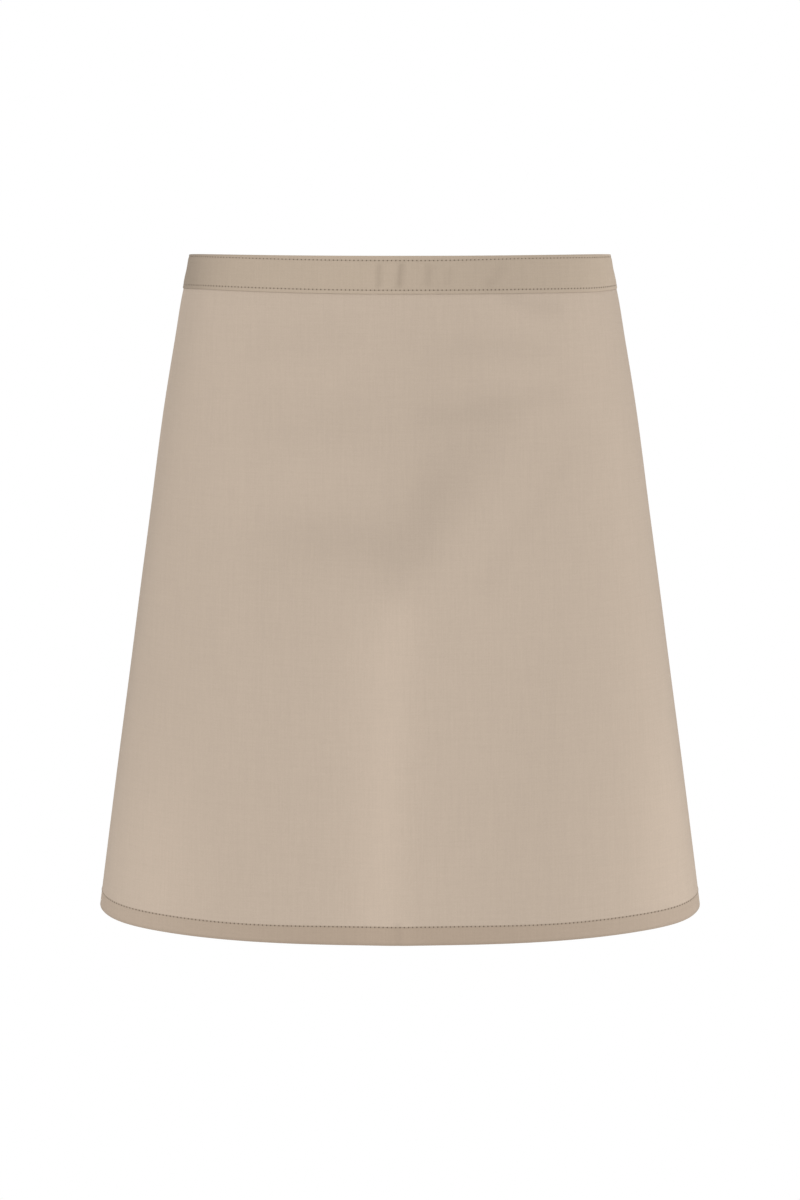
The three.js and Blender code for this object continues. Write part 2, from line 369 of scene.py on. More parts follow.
def makeAngleTable():
    # the angle from the front for every few millimetres of height and of distance along the section
    angles = np.linspace(0, math.pi, form["angleSteps"] + 1)
    alongs = np.arange(0, form["tableReach"], form["tableStep"])
    rows = []
    halves = []
    for height in np.arange(0, form["clothLength"] + form["tableStep"], form["tableStep"]):
        x, y, _ = roundPlace(sectionAt(height), angles)
        lengths = np.concatenate([[0], np.cumsum(np.hypot(np.diff(x), np.diff(y)))])
        rows.append(np.interp(alongs, lengths, angles))
        halves.append(lengths[-1])
    return np.array(rows), np.array(halves)


angleTable, halfRounds = makeAngleTable()


def angleAt(height, along):
    row = np.clip(height / form["tableStep"], 0, angleTable.shape[0] - 1.001)
    column = np.clip(np.abs(along) / form["tableStep"], 0, angleTable.shape[1] - 1.001)
    i, j = row.astype(int), column.astype(int)
    a, b = row - i, column - j
    near = angleTable[i, j] * (1 - b) + angleTable[i, j + 1] * b
    far = angleTable[i + 1, j] * (1 - b) + angleTable[i + 1, j + 1] * b
    return np.sign(along) * (near * (1 - a) + far * a)


def halfRound(height):
    return np.interp(height / form["tableStep"], np.arange(len(halfRounds)), halfRounds)


def levelAt(height, forward):
    drop = np.where(forward > 0, form["waistFrontDrop"], form["waistBackRise"])
    top = waistLevel - forward * drop + form["waistLift"] * np.sin(math.pi * np.clip(forward, 0, 1))
    bottom = waistLevel - form["waistFrontDrop"] - form["clothLength"] + form["hemSideRise"] * (1 - forward)
    lifted = np.exp(-(((forward - form["hemLiftPlace"]) / form["hemLiftSpread"]) ** 2))
    bottom = bottom + form["hemLift"] * lifted
    return mixed(top, bottom, height / form["clothLength"])


def foldOut(height, along):
    at = height / form["clothLength"]
    side = along / halfCloth
    total = np.zeros_like(at)
    for start, end, first, last, spread, out in folds.values():
        t = np.clip((at - start) / (end - start), 0, 1)
        place = (side - mixed(first, last, t)) / spread
        total += form["foldReach"] * out * np.sin(math.pi * t) ** 2 * np.exp(-place * place)
    return total + alongLines(creases, height, along)


def alongLines(lines, height, along):
    # the sum of soft lines on the cloth, each fading towards its two ends
    total = np.zeros_like(height)
    for x0, h0, x1, h1, spread, fade, amount in lines.values():
        run = np.array((x1 - x0, h1 - h0))
        length = np.hypot(*run)
        place = ((along - x0) * run[0] + (height - h0) * run[1]) / length
        off = ((along - x0) * run[1] - (height - h0) * run[0]) / length
        strength = amount * eased(place, 0, fade) * eased(length - place, 0, fade)
        total += strength * np.exp(-((off / spread) ** 2))
    return total


def clothPoint(height, along, out):
    # a place on the cloth: height is down from the waist edge, along is from the front middle,
    # and out is from the middle of the wall
    height, along, out = np.broadcast_arrays(*(np.asarray(value, float) for value in (height, along, out)))
    section = sectionAt(height)
    angle = angleAt(height, along)
    turn = math.pi / form["angleSteps"]
    x, y, forward = roundPlace(section, angle)
    x0, y0, _ = roundPlace(section, angle - turn)
    x1, y1, _ = roundPlace(section, angle + turn)
    normal = np.array((y1 - y0, x0 - x1))
    normal /= np.hypot(*normal)
    push = out + foldOut(height, along)
    return np.stack([x + normal[0] * push, y + normal[1] * push, levelAt(height, forward)], axis=-1)


mergeReach = 0.002  # points this near are one point


def smoothPiece(name, mesh):
    mesh.polygons.foreach_set("use_smooth", [True] * len(mesh.polygons))
    return linked(name, mesh)


def gridPiece(name, columns, rows, place, closed=False, gapEvery=None, paintedShading=None):
    # place takes the column and the row of each point and gives its place and its place on the cloth.
    # closed joins the first column to the last. gapEvery leaves out one row of faces in so many.
    bm = bmesh.new()
    bmesh.ops.create_grid(bm, x_segments=columns, y_segments=rows, size=0.5)
    mesh = bpy.data.meshes.new(name)
    bm.to_mesh(mesh)
    bm.free()
    spots = np.empty(len(mesh.vertices) * 3)
    mesh.vertices.foreach_get("co", spots)
    spots = spots.reshape(-1, 3)
    i = np.rint((spots[:, 0] + 0.5) * columns).astype(int)
    j = np.rint((spots[:, 1] + 0.5) * rows).astype(int)
    points, flat = place(i, j)
    mesh.vertices.foreach_set("co", (points * mm).ravel())
    corners = np.empty(len(mesh.loops), int)
    mesh.loops.foreach_get("vertex_index", corners)
    layer = mesh.uv_layers.new(name="clothMap")
    layer.data.foreach_set("uv", (flat * mm)[corners].ravel())
    # the painted light and shade lines go onto the mesh as an attribute
    if paintedShading:
        paintedLightShade = mesh.attributes.new("paintedLightShade", "FLOAT", "POINT")
        paintedLightShade.data.foreach_set("value", alongLines(paintedShading, flat[:, 1], flat[:, 0]))
    mesh.update()
    if closed:
        bm = bmesh.new()
        bm.from_mesh(mesh)
        if gapEvery:
            bm.faces.ensure_lookup_table()
            firstRow = j[corners.reshape(-1, 4)].min(axis=1)
            gaps = np.nonzero(firstRow % gapEvery == gapEvery - 1)[0]
            bmesh.ops.delete(bm, geom=[bm.faces[k] for k in gaps], context="FACES")
        bmesh.ops.remove_doubles(bm, verts=bm.verts, dist=mergeReach * mm)
        bmesh.ops.holes_fill(bm, edges=bm.edges, sides=0)
        bmesh.ops.recalc_face_normals(bm, faces=bm.faces)
        bm.to_mesh(mesh)
        bm.free()
    return smoothPiece(name, mesh)


def looped(section):
    # a section whose first place comes again at its end
    return np.vstack([section, section[:1]])


def distanceAround(section):
    return np.concatenate([[0], np.cumsum(np.hypot(*np.diff(looped(section), axis=0).T))])


def insideHalfTurn(steps):
    # the angles between the two ends of a half turn
    return np.linspace(0, math.pi, steps + 1)[1:-1]


def stripPiece(name, stops, section, surface):
    # a closed strip: section is a loop of places across and out, stops are the places along it
    loop = looped(section)
    around = distanceAround(section)

    def place(i, j):
        across, out = loop[i].T
        return surface(stops[j], across, out), np.stack([stops[j], around[i]], axis=-1)

    return gridPiece(name, len(section), len(stops) - 1, place, closed=True)


stripEdgeSteps = 4  # round each edge of a flat strip


def roundedStrip(width, thick, count, level=0):
    # the section of a flat strip with round edges, from edge to edge on one face and back on the other
    half = thick / 2
    inner = width / 2 - half
    flat = np.linspace(inner, -inner, count)
    turns = insideHalfTurn(stripEdgeSteps)
    face = np.stack([flat, np.full(count, half)], axis=-1)
    edge = np.stack([-inner - half * np.sin(turns), half * np.cos(turns)], axis=-1)
    return np.vstack([face, edge, -face, -edge]) + (0, level)


def finish(piece, material, slot, *nodes):
    piece.data.materials.append(material)
    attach(piece, "root")
    if nodes:
        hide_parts(*nodes)
    return piece


def waves(place, seed, lengths):
    # a wavering line around 0, a sum of a few waves of fixed length and phase
    phases = np.random.RandomState(seed).uniform(0, 2 * math.pi, len(lengths))
    total = sum(np.sin(2 * math.pi * place / length + phase) for length, phase in zip(lengths, phases))
    return total / len(lengths)


# the band's and hem's colours are a little darker than the panel's: painted shade of their doubled cloth; the
# ties and knot take the band's colour
cloth = {
    "panel": (0.4375, 0.3573, 0.2862, 1),
    "band": (0.408, 0.331, 0.2573, 1),
    "hem": (0.413, 0.336, 0.262, 1),
    "paintedShadingStep": 0.05,        # how far one step of painted shade changes the colour
    "threadPitch": 0.52,      # from one thread of the weave to the next
    "threadBlend": 0.35,
    "weaveDepth": 0.09,
    "weaveShade": 0.05,
    "streak": 0.05,
    "cross": 0.035,
    "grain": 0.07,
    "mottle": 0.01,
    "streakRise": 0.03,
    "crossRise": 0.02,
    "roughness": 0.88,
    "roughnessSpread": 0.06,
    "specular": 0.15,
    "bump": 0.8,
    "bumpDistance": 0.001,
}

# the uneven yarn: waves in a millimetre along and down, and a plane of noise of its own
uneven = {
    "streak": (1.5, 0.035, 0.5),
    "cross": (0.04, 1.4, 3.5),
    "mottle": (0.03, 0.03, 11.5),
    "grain": (1.4, 1.3, 17.5),
}


def clothMaterial(name, tone, extras=None):
    nodes = Nodes(name)
    along, height = (axis * 1000 for axis in nodes.mapAxes())  # millimetres on the cloth
    warp = nodes.maths("SINE", along * (math.pi / cloth["threadPitch"]))
    weft = nodes.maths("SINE", height * (math.pi / cloth["threadPitch"]))
    over = nodes.smooth(warp * weft, -cloth["threadBlend"], cloth["threadBlend"])
    weave = abs(warp) * over + abs(weft) * (1 - over)
    streak, cross, mottle, grain = (
        nodes.noise(along * across, height * down, plane) for across, down, plane in uneven.values()
    )
    shade = 1 + streak * cloth["streak"] + cross * cloth["cross"] + grain * cloth["grain"]
    # the crowns of the threads are painted lighter than the hollows between them: painted shade of the weave
    shade = shade + mottle * cloth["mottle"] + weave * cloth["weaveShade"]
    colour = nodes.scaled(tone, shade)
    raised = weave * cloth["weaveDepth"] + streak * cloth["streakRise"] + cross * cloth["crossRise"]
    if extras:
        colour, raised = extras(nodes, along, height, colour, raised)
    bump = {"Strength": cloth["bump"], "Distance": cloth["bumpDistance"], "Height": raised}
    return nodes.surfaced({
        "Base Color": colour,
        "Roughness": cloth["roughness"] + cloth["roughnessSpread"] * mottle,
        "Specular IOR Level": cloth["specular"],
        "Normal": nodes.put("ShaderNodeBump", None, bump),
    })


# the holes that the needle leaves, painted nearly black as painted shade, and the dip that a row of stitches
# pulls into the cloth
needle = {
    "pitch": 3.3,             # from one hole to the next
    "radius": 0.85,
    "core": 0.3,
    # the colour and the share of the painted shade in each hole
    "tone": (0.1, 0.075, 0.05, 1),
    "holeShade": 0.85,
    "depth": 0.15,
    "dipReach": 1.6,
    "dipDepth": 0.12,
}


def stitchHoles(nodes, colour, raised, run, off):
    # run is the distance along the row of stitches, and off the distance from it
    pitch = needle["pitch"]
    part = nodes.maths("FRACT", run / pitch + 0.5) - 0.5
    reach = nodes.maths("SQRT", part * part * pitch**2 + off * off)
    hole = nodes.smooth(reach, needle["radius"], needle["core"])
    dip = nodes.smooth(abs(off), needle["dipReach"], 0)
    # each hole is painted dark: painted shade
    colour = nodes.mix(hole * needle["holeShade"], colour, needle["tone"])
    return colour, raised - dip * needle["dipDepth"] - hole * needle["depth"]


def addPaintedShading(nodes, colour, share=1):
    # painted light and shade: lighter or darker by the attribute that the mesh carries
    paintedLightShade = nodes.put("ShaderNodeAttribute", {"attribute_name": "paintedLightShade"}, output=2)
    return nodes.scaled(colour, 1 + paintedLightShade * cloth["paintedShadingStep"] * share)


print("cloth")

# rows of stitches and the turned edges, as places on the cloth
panelLook = {
    "hemRow": 530.8,
    "sideRow": 365,
    "hemDrop": 1.1,           # how much lower the hem's row runs away from the middle
    "hemDropReach": (40, 140),
    # the hem's darker colour: painted shade of the doubled cloth
    "hemPaintedShade": (0.825, 0.795, 0.765),
    "hemEdge": 530.2,
    "hemEdgeBlend": 0.5,
    "hemMiddle": 1,           # how much of its painted shade the hem takes in the middle and at the sides
    "hemSides": 0.56,
    "hemMiddleReach": (260, 40),
    "hemShadingLoss": 0.5,      # how much of the panel's painted light and shade the hem loses
    "foldShade": 0.1,
    "foldReach": (542.3, 544.6),
    "pucker": (0.16, 0.05, 21.5),
    "puckerRow": 534,
    "puckerReach": (14, 2),
    "puckerDepth": 0.18,
}


def panelExtras(nodes, along, height, colour, raised):
    # the bottom edge is two layers thick; there the colour is painted darker, most of all in the middle, as
    # painted shade of the doubled cloth
    look = panelLook
    fromRow = height - nodes.smooth(abs(along), *look["hemDropReach"]) * look["hemDrop"]
    edge, blend = look["hemEdge"], look["hemEdgeBlend"]
    deep = nodes.smooth(fromRow, edge - blend, edge + blend)
    colour = addPaintedShading(nodes, colour, 1 - look["hemShadingLoss"] * deep)
    # a thin line of painted shade along the bottom fold
    colour = nodes.scaled(colour, 1 - look["foldShade"] * nodes.smooth(height, *look["foldReach"]))
    middle = nodes.smooth(abs(along), *look["hemMiddleReach"])
    share = deep * (look["hemSides"] + (look["hemMiddle"] - look["hemSides"]) * middle)
    colour = nodes.mix(share, colour, nodes.times(colour, look["hemPaintedShade"]))
    across, down, plane = look["pucker"]
    pucker = nodes.noise(along * across, height * down, plane)
    near = nodes.smooth(abs(height - look["puckerRow"]), *look["puckerReach"])
    raised = raised + pucker * near * look["puckerDepth"]
    colour, raised = stitchHoles(nodes, colour, raised, along, fromRow - look["hemRow"])
    return stitchHoles(nodes, colour, raised, height, abs(along) - look["sideRow"])


bandRows = (4, 28)            # from the fold down to each long row of stitches
bandEndRow = halfCloth - 3.5  # the short row at each end of the band


def bandExtras(nodes, along, height, colour, raised):
    # painted light and shade from the band's lines
    colour = addPaintedShading(nodes, colour)
    first, second = bandRows
    off = nodes.maths("MINIMUM", abs(abs(height) - first), abs(abs(height) - second))
    colour, raised = stitchHoles(nodes, colour, raised, along, off)
    return stitchHoles(nodes, colour, raised, height, abs(along) - bandEndRow)


panelCloth = clothMaterial("panelCloth", cloth["panel"], panelExtras)
bandCloth = clothMaterial("bandCloth", cloth["band"], bandExtras)
hemCloth = clothMaterial("hemCloth", cloth["hem"])


threadLook = {
    "tone": (0.40, 0.325, 0.25, 1),
    "shade": 0.97,
    "plyShade": 0.04,
    "plyAlong": 9000,
    "plyAround": 4000,
    "roughness": 0.7,
    "bump": 0.6,
    "bumpDistance": 0.0001,
}


def threadMaterial():
    # a twisted thread, whose plies wind round it
    nodes = Nodes("sewingThread")
    along, around = nodes.mapAxes()
    # the colour follows the plies, lighter on them and darker between them: painted shade of the twist
    ply = nodes.maths("SINE", along * threadLook["plyAlong"] + around * threadLook["plyAround"])
    bump = {"Strength": threadLook["bump"], "Distance": threadLook["bumpDistance"], "Height": ply}
    return nodes.surfaced({
        "Base Color": nodes.scaled(threadLook["tone"], threadLook["shade"] + ply * threadLook["plyShade"]),
        "Roughness": threadLook["roughness"],
        "Normal": nodes.put("ShaderNodeBump", None, bump),
    })


thread = threadMaterial()

stitch = {"length": 2.45, "radius": 0.26, "sides": 6, "lift": 0.2, "sink": 0.3}
# each ring of a stitch: its place along the stitch, and its share of the radius
stitchRings = ((0, 0), (0.08, 0.75), (0.3, 1), (0.7, 1), (0.92, 0.75), (1, 0))


def stitchRow(name, surface, start, end, row, level, slot):
    # surface takes places along, across and out
    # each stitch rises from one needle hole and sinks into the next
    pitch = needle["pitch"]
    first = math.ceil(start / pitch)
    count = int((end - first * pitch) // pitch)
    rings = np.array(stitchRings)
    per = len(rings)
    direction = np.sign(level)

    def place(i, j):
        turn = 2 * math.pi * i / stitch["sides"]
        share, wide = rings[j % per].T
        radius = stitch["radius"] * wide
        inset = (pitch - stitch["length"]) / 2
        along = (first + j // per) * pitch + inset + share * stitch["length"]
        rise = stitch["lift"] * np.sin(math.pi * share) - stitch["sink"] * (1 - np.sin(math.pi * share))
        out = level + direction * (rise + radius * np.sin(turn))
        points = surface(along, row + radius * np.cos(turn), out)
        return points, np.stack([along, turn], axis=-1)

    piece = gridPiece(name, stitch["sides"], count * per - 1, place, closed=True, gapEvery=per)
    return finish(piece, thread, slot)


panel = {
    "top": 21,                # the top edge lies inside the band
    "wall": 0.7,
    "turnRadius": 1,
    "turnSteps": 6,
    "flatEdge": 0.05,         # share of the turn that is left where the band covers the side edge
    "flatReach": (27.5, 30),
    "columnStep": 2,
    "upperStep": 3,
    "upperEnd": 57,
    "lowerStart": 507,
    "middleRows": 75,
    "lowerRows": 20,
}


def turned(reach, edge, radius, step):
    # a cloth edge that turns round behind itself: step is 0 on the flat and grows to pi round the turn
    place = np.where(step > 0, edge - radius + radius * np.sin(step), reach)
    return place, -radius * (1 - np.cos(step))


def edgeStops(flat, radius):
    # cloth distances on the flat and round the turn, with the angle of the turn beside each
    turns = math.pi * np.arange(1, panel["turnSteps"] + 1) / panel["turnSteps"]
    return np.concatenate([flat, flat[-1] + radius * turns]), np.concatenate([np.zeros(len(flat)), turns])


def panelSurface(along, alongTurn, height, heightTurn):
    radius = panel["turnRadius"] * mixed(panel["flatEdge"], 1, eased(height, *panel["flatReach"]))
    side, sideOut = turned(np.abs(along), halfCloth, radius, alongTurn)
    down, downOut = turned(height, form["clothLength"], panel["turnRadius"], heightTurn)
    return clothPoint(down, np.sign(along) * side, sideOut + downOut)


def makePanel():
    radius = panel["turnRadius"]
    flat = np.linspace(0, halfCloth - radius, round(halfCloth / panel["columnStep"]))
    alongs, alongTurns = edgeStops(flat, radius)
    alongs = np.concatenate([-alongs[:0:-1], alongs])
    alongTurns = np.concatenate([alongTurns[:0:-1], alongTurns])
    flat = np.concatenate([
        np.arange(panel["top"], panel["upperEnd"], panel["upperStep"]),
        np.linspace(panel["upperEnd"], panel["lowerStart"], panel["middleRows"] + 1)[:-1],
        np.linspace(panel["lowerStart"], form["clothLength"] - radius, panel["lowerRows"]),
    ])
    heights, heightTurns = edgeStops(flat, radius)

    def place(i, j):
        points = panelSurface(alongs[i], alongTurns[i], heights[j], heightTurns[j])
        return points, np.stack([alongs[i], heights[j]], axis=-1)

    piece = gridPiece("panel", len(alongs) - 1, len(heights) - 1, place, paintedShading=panelPaintedShading)
    wall = piece.modifiers.new("wall", "SOLIDIFY")
    wall.thickness = panel["wall"] * mm
    wall.offset = 0
    return finish(piece, panelCloth, "panel_cloth", "apron_panel")


print("panel")
panelPiece = makePanel()

hem = {
    "top": 529,
    "sideTop": 28.8,
    "near": -0.45,
    "far": -2.35,
    "gap": 0.03,
    "bottomWidth": 15,
    "sideWidth": 12,
    "sideLength": 501,
    "sideOverlap": 0.8,       # how far the side edges reach past the top of the bottom one
    "sideStitchTop": 31,
    "lowReach": (4, 12),      # heights over the fold between which the hem starts to run lower
    "faceColumns": 9,
    "columnStep": 2,
    "sideRows": 100,
}


def hemSurface(along, height, out):
    # the upper edge and its row of stitches run a little lower away from the middle
    low = form["clothLength"] - height
    away = eased(np.abs(along), *panelLook["hemDropReach"])
    drop = panelLook["hemDrop"] * away * eased(low, *hem["lowReach"])
    return clothPoint(height + drop, along, out)


def hemSection(start, end):
    level = (hem["near"] + hem["far"]) / 2
    section = roundedStrip(end - start, hem["near"] - hem["far"], hem["faceColumns"], level)
    return section + ((start + end) / 2, 0)


def makeHems():
    reach = halfCloth - panel["turnRadius"] - hem["gap"]
    bottom = form["clothLength"] - panel["turnRadius"] - hem["gap"]
    stops = np.linspace(-reach, reach, round(2 * reach / hem["columnStep"]))
    pieces = [stripPiece("bottomHem", stops, hemSection(hem["top"], bottom), hemSurface)]
    finish(pieces[0], hemCloth, "hem_cloth", "bottom_hem")
    heights = np.linspace(hem["sideTop"], hem["top"] + hem["sideOverlap"], hem["sideRows"])
    for name, side in sides.items():
        ends = sorted((side * reach, side * (halfCloth - hem["sideWidth"])))
        piece = stripPiece(f"sideHem_{name}", heights, hemSection(*ends), clothPoint)
        pieces.append(finish(piece, hemCloth, "hem_cloth", f"side_hem_{name}"))
    return pieces


print("hems")
hemPieces = makeHems()

band = {
    "inner": 0.45,            # from the panel's middle to the inside of the band's wall
    "wall": 0.85,
    "fold": 0.6,
    "foldSteps": 8,
    "edgeSteps": 5,
    "insideTop": 1.5,
    "insideMiddle": 16,
    "puff": 0.5,
    "puffUneven": 0.35,
    "puffWaves": (5, (83, 47, 31)),
    "dip": 0.28,
    "dipWidth": 1.3,
    "press": 0.3,
    "pressReach": (28.8, 30.6),
    "pucker": 0.14,
    "puckerWidth": 4,
    "puckerSlant": 0.4,
    "puckerWaves": (9, (6.1, 8.7, 13.3, 5.2)),
    "sideRise": 2.6,          # how far the lower edge comes up at the sides
    "rowRise": 1.6,           # how far the upper row has come up before that on the right
    "leftReach": (10, 220),
    "rowReach": (20, 120),
    "rowDepth": (-6, 30),
    "rightReach": (165, 235),
    "foldDepth": (-1, 5.5),
    "outerFrom": 0.3,
    "threadSink": 0.06,
    "columnStep": 1.5,
    "rowStep": 1.25,
}


def bandSection():
    # once round the band's wall: the front from the lower edge up, over the fold, down the back,
    # and inside it again
    level = band["inner"] + band["wall"]
    low = form["bandHeight"]
    rows = np.linspace(low - band["wall"] / 2, band["fold"], round(low / band["rowStep"]))
    turns = insideHalfTurn(band["foldSteps"])
    edge = insideHalfTurn(band["edgeSteps"])
    half = band["wall"] / 2
    middle = band["inner"] + half
    front = np.stack([rows, np.full(len(rows), level)], axis=-1)
    fold = np.stack([band["fold"] - band["fold"] * np.sin(turns), level * np.cos(turns)], axis=-1)
    back = front[::-1] * (1, -1)
    backEdge = np.stack([low - half + half * np.sin(edge), -middle - half * np.cos(edge)], axis=-1)
    upward = [(height, -band["inner"]) for height in (low - half, band["insideMiddle"], band["insideTop"])]
    inside = np.array(upward + [(height, -out) for height, out in reversed(upward)])
    frontEdge = np.stack([low - half + half * np.sin(edge), middle - half * np.cos(edge)], axis=-1)
    return np.vstack([front, fold, back, backEdge, inside, frontEdge])


def bandRelief(height, along):
    # how far the cloth puffs between the two rows, and how the rows pull it in
    first, second = bandRows
    t = np.clip((height - first) / (second - first), 0, 1)
    puff = band["puff"] * np.sin(math.pi * t) * (1 + band["puffUneven"] * waves(along, *band["puffWaves"]))
    off = np.minimum(np.abs(height - first), np.abs(height - second))
    row = np.exp(-((off / band["dipWidth"]) ** 2))
    near = np.exp(-((off / band["puckerWidth"]) ** 2))
    press = band["press"] * eased(height, *band["pressReach"])
    gathered = waves(along + band["puckerSlant"] * height, *band["puckerWaves"])
    return puff - press - band["dip"] * row + band["pucker"] * near * gathered


def bandRise(height, along):
    # towards the sides the fold rolls in, and what is under it comes up a little
    # on the right the upper row comes up first
    left = band["sideRise"] * eased(-along, *band["leftReach"])
    over = eased(form["bandHeight"] - height, *band["rowDepth"])
    early = band["rowRise"] * eased(along, *band["rowReach"]) * over
    right = mixed(early, band["sideRise"], eased(along, *band["rightReach"]))
    return (left + right) * eased(height, *band["foldDepth"])


def bandSurface(along, height, out):
    outer = eased(np.abs(out), band["inner"] + band["outerFrom"], band["inner"] + band["wall"])
    risen = height - bandRise(height, along)
    return clothPoint(risen, along, out + np.sign(out) * outer * bandRelief(height, along))


def makeBand():
    section = bandSection()
    loop = looped(section)
    stops = np.linspace(-halfCloth, halfCloth, round(form["clothWidth"] / band["columnStep"]))

    def place(i, j):
        height, out = loop[i].T
        return bandSurface(stops[j], height, out), np.stack([stops[j], np.sign(out) * height], axis=-1)

    piece = gridPiece("band", len(section), len(stops) - 1, place, closed=True, paintedShading=bandPaintedShading)
    return finish(piece, bandCloth, "band_cloth", "waistband")


print("band")
bandPiece = makeBand()

tie = {
    "width": 18.5,
    "wall": 0.8,
    "insert": 15,             # how far a tape reaches into the band
    "overlap": 2,             # and into the knot
    "top": 1.75,
    "pinch": 0.62,
    "pinchReach": 38,
    "pleat": 1.1,
    "pleats": 2,
    "edgeRow": 2.2,           # from the tape's lower edge to its one row of stitches
    "rowFromBand": 2,
    "rowToKnot": 4,
    "rowEnds": 3,
    "endHem": 8,              # the fold at a free end starts here and is whole a little later
    "endHemWhole": 7.4,
    "endFold": 0.7,
    "crossRow": 1.5,
    "crossInset": 2,
    "faceColumns": 17,
    "tapeRows": 60,
    "loopRows": 110,
    "endRows": 100,
    "endHemRows": 7,
    "knotAcross": 22,
    "knotDepth": 15,
    "knotInset": 5,
    "loopReach": 72,
    "loopDepth": 15,
    "loopDroop": math.radians(26),
    "loopLean": 12,
    "loopOut": 3.5,
    "endLength": 235,
    "endSpread": math.radians(9),
    "endWave": 5,
    "pitch": 1.3,
}
knotReach = tie["knotAcross"] / 2 + 0.3
knotDown = tie["top"] + tie["width"] / 2
knotPlace = clothPoint(knotDown, halfRound(knotDown), 0) * (0, 1, 1)
outLine = np.array((0.0, 1.0, 0.0))

tape = roundedStrip(tie["width"], tie["wall"], tie["faceColumns"])
tapeRow = tie["edgeRow"] - tie["width"] / 2


def tapeRows():
    # where the row of stitches lies on the way around the tape, on its two faces
    reach = (tie["width"] - tie["wall"]) / 2
    back = distanceAround(tape)[tie["faceColumns"] + stripEdgeSteps - 1]
    return reach - tapeRow, back + reach + tapeRow


def tieExtras(nodes, along, height, colour, raised):
    front, back = tapeRows()
    off = nodes.maths("MINIMUM", abs(height - front), abs(height - back))
    return stitchHoles(nodes, colour, raised, along, off)


tieCloth = clothMaterial("tieCloth", cloth["band"], tieExtras)


def pinched(toKnot):
    # how much narrower the tape gets towards the knot, and how deep its pleats are there
    near = 1 - eased(toKnot, 0, tie["pinchReach"])
    return 1 - (1 - tie["pinch"]) * near, tie["pleat"] * near


def pleated(across, depth):
    return depth * np.cos(2 * math.pi * tie["pleats"] * across / tie["width"])


def tieSurface(side):
    def surface(along, across, out):
        narrow, depth = pinched(halfRound(knotDown) - knotReach - along)
        return clothPoint(knotDown - across * narrow, side * along, out + pleated(across, depth))
    return surface


ribbonPlaces = 400   # where the length along a tape is measured
ribbonStep = 0.002   # share of a tape over which its direction is measured


def distanceAlong(middleOf, shares):
    points = middleOf(shares)
    return np.concatenate([[0], np.cumsum(np.linalg.norm(np.diff(points, axis=0), axis=1))])


def ribbonSurface(middleOf, across, toKnot):
    # a tape along a line of middles, which is given for a share from 0 to 1, and the tape's length
    shares = np.linspace(0, 1, ribbonPlaces)
    distances = distanceAlong(middleOf, shares)
    step = ribbonStep

    def surface(along, wide, out):
        share = np.interp(along, distances, shares)
        middle = middleOf(share)
        run = middleOf(np.minimum(share + step, 1)) - middleOf(np.maximum(share - step, 0))
        normal = np.cross(run, across)
        normal /= np.linalg.norm(normal, axis=-1, keepdims=True)
        narrow, depth = pinched(toKnot(share))
        drop = across * (wide * narrow)[:, None]
        return middle + drop + normal * out[:, None] + outLine * pleated(wide, depth)[:, None]

    return surface, float(distances[-1])


def loopMiddle(side):
    droop = tie["loopDroop"]
    outward = np.array((side * math.cos(droop), 0, -math.sin(droop)))
    fullest = 4 / (3 * math.sqrt(3))

    def middle(share):
        turn = 2 * math.pi * np.asarray(share)
        reach = tie["loopReach"] * (1 - np.cos(turn)) / 2
        apart = tie["pitch"] / 2 * np.cos(turn / 2)
        swell = tie["loopDepth"] / 2 / fullest * np.sin(turn) * np.sin(turn / 2)
        lean = tie["loopLean"] * reach / tie["loopReach"]
        away = tie["loopOut"] + lean - apart - swell
        return knotPlace + outward * (knotReach + reach)[:, None] + outLine * away[:, None]

    return middle, np.array((side * math.sin(droop), 0, math.cos(droop)))


def endMiddle(side):
    lean = tie["endSpread"]
    down = np.array((side * math.sin(lean), 0, -math.cos(lean)))
    out = tie["loopOut"] - 3 * tie["pitch"] + side * tie["pitch"] / 2

    def middle(share):
        wave = tie["endWave"] * share * np.sin(2 * math.pi * share)
        fall = knotReach + tie["endLength"] * share
        return knotPlace + outLine * (out + wave)[:, None] + down * fall[:, None]

    return middle, np.array((math.cos(lean), 0, side * math.sin(lean)))


def hemmed(surface, length):
    # the last few millimetres of a free end are folded back on themselves
    def thick(along, wide, out):
        folded = eased(along, length - tie["endHem"], length - tie["endHemWhole"])
        return surface(along, wide, out * (1 + tie["endFold"] * folded))
    return thick


def tapeStitches(name, surface, start, end):
    level = tie["wall"] / 2
    return [
        stitchRow(f"{name}Stitches_{label}", surface, start, end, tapeRow, face * level, "tie_cloth")
        for label, face in faces.items()
    ]


def crossStitches(name, surface, length):
    # the row that holds the fold at a free end
    reach = tie["width"] / 2 - tie["crossInset"]
    row = length - tie["endHem"] + tie["crossRow"]
    level = tie["wall"] / 2 * (1 + tie["endFold"])

    def turnedSurface(wide, along, out):
        return surface(along, wide, out)

    return [
        stitchRow(f"{name}Hem_{label}", turnedSurface, -reach, reach, row, face * level, "tie_cloth")
        for label, face in faces.items()
    ]


def makeTape(name, node, stops, surface, start, end):
    piece = finish(stripPiece(name, stops, tape, surface), tieCloth, "tie_cloth", node)
    return piece, tapeStitches(name, surface, start, end)


